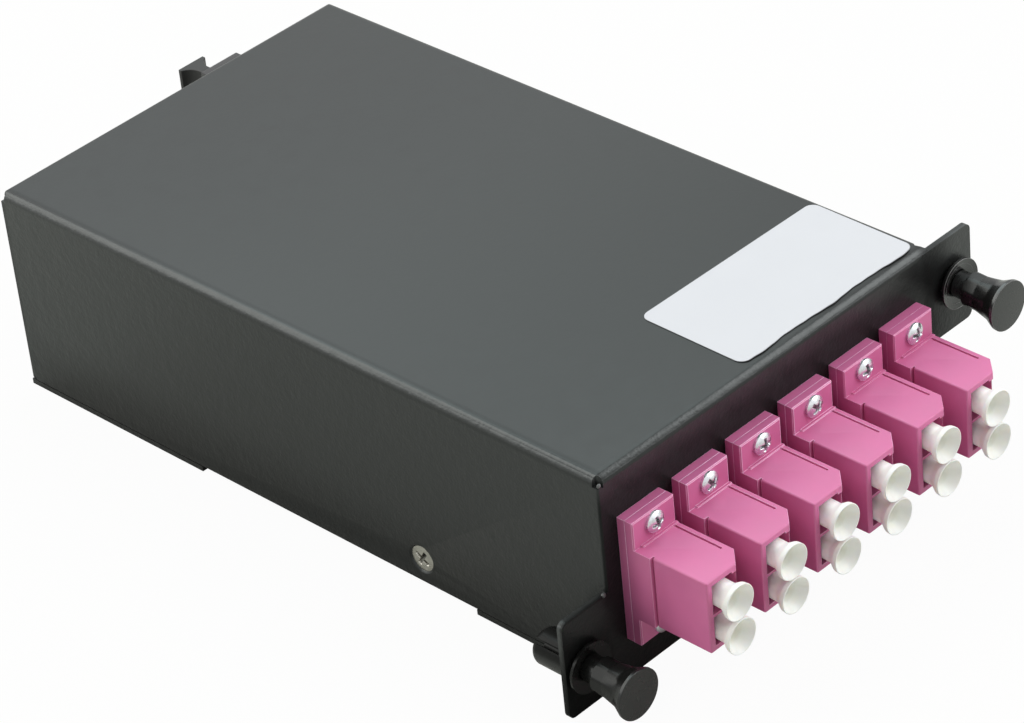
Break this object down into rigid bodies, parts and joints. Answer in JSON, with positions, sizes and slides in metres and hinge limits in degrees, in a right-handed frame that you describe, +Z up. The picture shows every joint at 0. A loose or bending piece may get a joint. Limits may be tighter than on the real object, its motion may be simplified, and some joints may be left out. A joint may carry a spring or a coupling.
{
  "type": "fibre cassette",
  "caption": "Flat folded-steel fibre breakout box with capped duplex adapters in a row on its front panel, a capped multi-fibre adapter at the back and push-pull plungers on two ears.",
  "frame": {"origin": "centre of the bottom cover's underside", "axes": "+Z up through the top plate, -Y out of the front panel, +X towards the panel's right-hand (upper) ear as seen from the front"},
  "size_m": [0.097, 0.1811, 0.0388],
  "materials": {
    "powder_coat": "fine-textured satin black powder coat",
    "label_film": "satin white film, bare",
    "nickel_steel": "nickel-plated, satin",
    "zinc_steel": "bright zinc-plated",
    "magenta_plastic": "moulded, satin",
    "zirconia": "polished ceramic",
    "white_plastic": "slightly translucent soft plastic",
    "black_nylon": "moulded, glossy",
    "black_plastic": "moulded, satin",
    "black_elastomer": "soft moulded, satin"
  },
  "bodies": {
    "cassette": {"housing": "powder_coat", "bottom_cover": "powder_coat", "label": "label_film", "cover_screws": "nickel_steel", "adapter_front_1": "magenta_plastic", "adapter_rear_1": "magenta_plastic", "sleeve_1_upper": "zirconia", "sleeve_1_lower": "zirconia", "adapter_front_2": "magenta_plastic", "adapter_rear_2": "magenta_plastic", "sleeve_2_upper": "zirconia", "sleeve_2_lower": "zirconia", "adapter_front_3": "magenta_plastic", "adapter_rear_3": "magenta_plastic", "sleeve_3_upper": "zirconia", "sleeve_3_lower": "zirconia", "adapter_front_4": "magenta_plastic", "adapter_rear_4": "magenta_plastic", "sleeve_4_upper": "zirconia", "sleeve_4_lower": "zirconia", "adapter_front_5": "magenta_plastic", "adapter_rear_5": "magenta_plastic", "sleeve_5_upper": "zirconia", "sleeve_5_lower": "zirconia", "adapter_front_6": "magenta_plastic", "adapter_rear_6": "magenta_plastic", "sleeve_6_upper": "zirconia", "sleeve_6_lower": "zirconia", "adapter_screws": "zinc_steel", "adapter_nuts": "zinc_steel", "mpo_screws": "zinc_steel", "mpo_nuts": "zinc_steel", "plunger_grommet_left": "black_nylon", "plunger_grommet_right": "black_nylon", "mpo_adapter_outer": "black_plastic", "mpo_adapter_inner": "black_plastic"},
    "plunger_left": {"plunger_pin_left": "black_nylon"},
    "plunger_right": {"plunger_pin_right": "black_nylon"},
    "cap_1_upper": {"dust_cap_1_upper": "white_plastic"},
    "cap_1_lower": {"dust_cap_1_lower": "white_plastic"},
    "cap_2_upper": {"dust_cap_2_upper": "white_plastic"},
    "cap_2_lower": {"dust_cap_2_lower": "white_plastic"},
    "cap_3_upper": {"dust_cap_3_upper": "white_plastic"},
    "cap_3_lower": {"dust_cap_3_lower": "white_plastic"},
    "cap_4_upper": {"dust_cap_4_upper": "white_plastic"},
    "cap_4_lower": {"dust_cap_4_lower": "white_plastic"},
    "cap_5_upper": {"dust_cap_5_upper": "white_plastic"},
    "cap_5_lower": {"dust_cap_5_lower": "white_plastic"},
    "cap_6_upper": {"dust_cap_6_upper": "white_plastic"},
    "cap_6_lower": {"dust_cap_6_lower": "white_plastic"},
    "mpo_cap": {"mpo_dust_cap": "black_elastomer"}
  },
  "joints": [
    {"name": "plunger_left_pull", "type": "slide", "parent": "cassette", "child": "plunger_left", "axis": [0, -1, 0], "range_m": [0, 0.005]},
    {"name": "plunger_right_pull", "type": "slide", "parent": "cassette", "child": "plunger_right", "axis": [0, -1, 0], "range_m": [0, 0.005]},
    {"name": "cap_1_upper_pull", "type": "slide", "parent": "cassette", "child": "cap_1_upper", "axis": [0, -1, 0], "range_m": [0, 0.012]},
    {"name": "cap_1_lower_pull", "type": "slide", "parent": "cassette", "child": "cap_1_lower", "axis": [0, -1, 0], "range_m": [0, 0.012]},
    {"name": "cap_2_upper_pull", "type": "slide", "parent": "cassette", "child": "cap_2_upper", "axis": [0, -1, 0], "range_m": [0, 0.012]},
    {"name": "cap_2_lower_pull", "type": "slide", "parent": "cassette", "child": "cap_2_lower", "axis": [0, -1, 0], "range_m": [0, 0.012]},
    {"name": "cap_3_upper_pull", "type": "slide", "parent": "cassette", "child": "cap_3_upper", "axis": [0, -1, 0], "range_m": [0, 0.012]},
    {"name": "cap_3_lower_pull", "type": "slide", "parent": "cassette", "child": "cap_3_lower", "axis": [0, -1, 0], "range_m": [0, 0.012]},
    {"name": "cap_4_upper_pull", "type": "slide", "parent": "cassette", "child": "cap_4_upper", "axis": [0, -1, 0], "range_m": [0, 0.012]},
    {"name": "cap_4_lower_pull", "type": "slide", "parent": "cassette", "child": "cap_4_lower", "axis": [0, -1, 0], "range_m": [0, 0.012]},
    {"name": "cap_5_upper_pull", "type": "slide", "parent": "cassette", "child": "cap_5_upper", "axis": [0, -1, 0], "range_m": [0, 0.012]},
    {"name": "cap_5_lower_pull", "type": "slide", "parent": "cassette", "child": "cap_5_lower", "axis": [0, -1, 0], "range_m": [0, 0.012]},
    {"name": "cap_6_upper_pull", "type": "slide", "parent": "cassette", "child": "cap_6_upper", "axis": [0, -1, 0], "range_m": [0, 0.012]},
    {"name": "cap_6_lower_pull", "type": "slide", "parent": "cassette", "child": "cap_6_lower", "axis": [0, -1, 0], "range_m": [0, 0.012]},
    {"name": "mpo_cap_pull", "type": "slide", "parent": "cassette", "child": "mpo_cap", "axis": [0, 1, 0], "range_m": [0, 0.012]}
  ]
}
